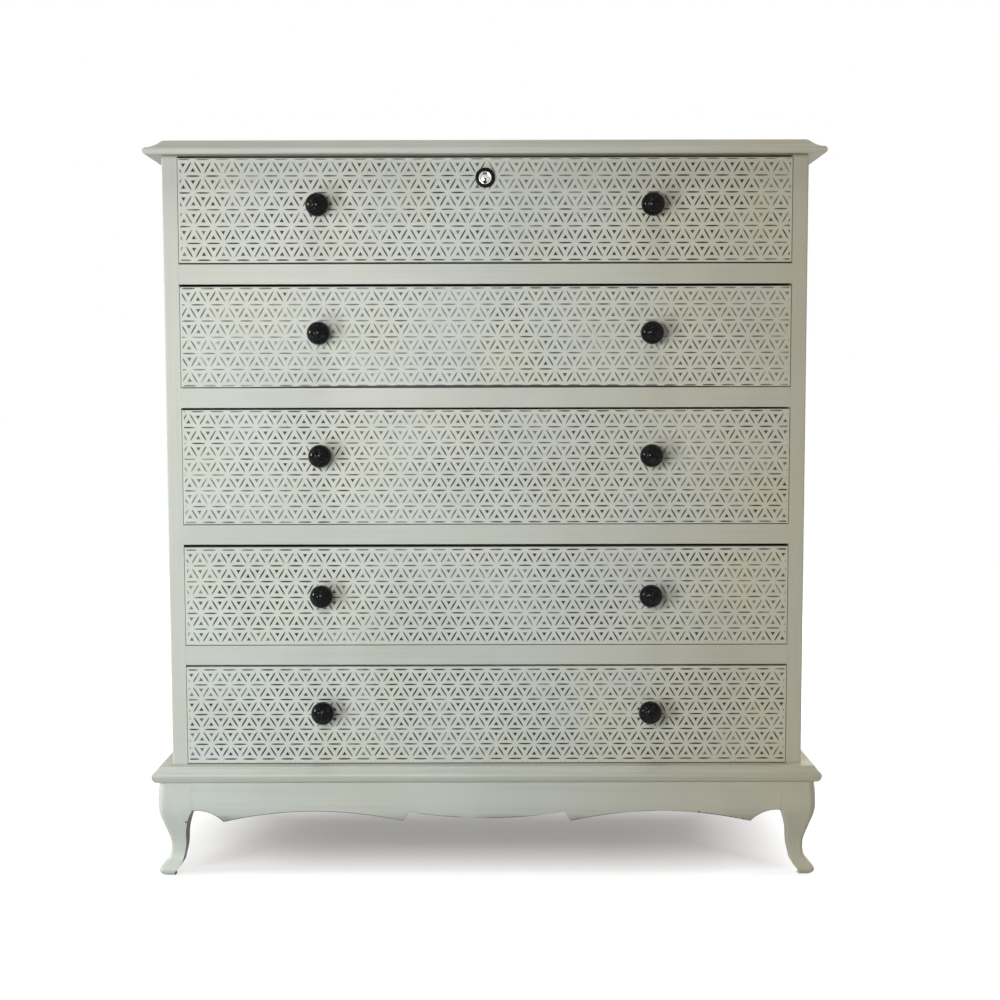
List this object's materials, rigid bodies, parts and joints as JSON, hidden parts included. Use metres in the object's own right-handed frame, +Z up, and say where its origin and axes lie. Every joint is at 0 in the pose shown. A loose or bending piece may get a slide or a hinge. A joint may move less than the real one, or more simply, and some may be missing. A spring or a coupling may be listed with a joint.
{
  "type": "chest of drawers",
  "caption": "Painted wooden tallboy with stencilled full-width drawers, black ball knobs, a cylinder lock in the top drawer, moulded edges, a scalloped apron and cabriole legs.",
  "frame": {"origin": "on the floor under the middle of the bounding box, knobs included", "axes": "+Z up, the drawers open toward -Y, +X to the right of a viewer in front"},
  "size_m": [0.988, 0.468, 1.081],
  "materials": {
    "sage_paint": "satin sage paint",
    "stencilled_paint": "satin sage paint with a dark stencilled lattice",
    "raw_pine": "bare planed softwood",
    "plywood": "bare plywood",
    "black_gloss": "gloss black",
    "black_metal": "black enamel",
    "chrome": "polished",
    "steel": "plated"
  },
  "bodies": {
    "carcass": {"top_board": "sage_paint", "left_side_panel": "sage_paint", "right_side_panel": "sage_paint", "drawer_rails": "sage_paint", "base_moulding_front": "sage_paint", "base_moulding_left": "sage_paint", "base_moulding_right": "sage_paint", "front_apron": "sage_paint", "left_apron": "sage_paint", "right_apron": "sage_paint", "front_left_leg": "sage_paint", "front_right_leg": "sage_paint", "back_left_leg": "sage_paint", "back_right_leg": "sage_paint", "top_front_rail": "raw_pine", "top_back_rail": "raw_pine", "drawer_runners": "raw_pine", "bottom_board": "raw_pine", "back_apron": "raw_pine", "glue_blocks": "raw_pine", "back_panel": "plywood"},
    "drawer_1": {"drawer_1_front": "stencilled_paint", "drawer_1_left_side": "raw_pine", "drawer_1_right_side": "raw_pine", "drawer_1_back": "raw_pine", "drawer_1_bottom": "plywood", "drawer_1_knobs": "black_gloss", "drawer_1_knob_screws": "steel", "lock_housing": "black_metal", "lock_nut": "steel"},
    "drawer_2": {"drawer_2_front": "stencilled_paint", "drawer_2_left_side": "raw_pine", "drawer_2_right_side": "raw_pine", "drawer_2_back": "raw_pine", "drawer_2_bottom": "plywood", "drawer_2_knobs": "black_gloss", "drawer_2_knob_screws": "steel"},
    "drawer_3": {"drawer_3_front": "stencilled_paint", "drawer_3_left_side": "raw_pine", "drawer_3_right_side": "raw_pine", "drawer_3_back": "raw_pine", "drawer_3_bottom": "plywood", "drawer_3_knobs": "black_gloss", "drawer_3_knob_screws": "steel"},
    "drawer_4": {"drawer_4_front": "stencilled_paint", "drawer_4_left_side": "raw_pine", "drawer_4_right_side": "raw_pine", "drawer_4_back": "raw_pine", "drawer_4_bottom": "plywood", "drawer_4_knobs": "black_gloss", "drawer_4_knob_screws": "steel"},
    "drawer_5": {"drawer_5_front": "stencilled_paint", "drawer_5_left_side": "raw_pine", "drawer_5_right_side": "raw_pine", "drawer_5_back": "raw_pine", "drawer_5_bottom": "plywood", "drawer_5_knobs": "black_gloss", "drawer_5_knob_screws": "steel"},
    "lock": {"lock_plug": "chrome", "lock_cam": "steel"}
  },
  "joints": [
    {"name": "drawer_1_slide", "type": "slide", "parent": "carcass", "child": "drawer_1", "axis": [0, -1, 0], "range_m": [0, 0.3]},
    {"name": "drawer_2_slide", "type": "slide", "parent": "carcass", "child": "drawer_2", "axis": [0, -1, 0], "range_m": [0, 0.3]},
    {"name": "drawer_3_slide", "type": "slide", "parent": "carcass", "child": "drawer_3", "axis": [0, -1, 0], "range_m": [0, 0.3]},
    {"name": "drawer_4_slide", "type": "slide", "parent": "carcass", "child": "drawer_4", "axis": [0, -1, 0], "range_m": [0, 0.3]},
    {"name": "drawer_5_slide", "type": "slide", "parent": "carcass", "child": "drawer_5", "axis": [0, -1, 0], "range_m": [0, 0.3]},
    {"name": "lock_turn", "type": "hinge", "parent": "drawer_1", "child": "lock", "pos_m": [0, -0.196, 1.0262], "axis": [0, -1, 0], "range_deg": [0, 90]}
  ]
}
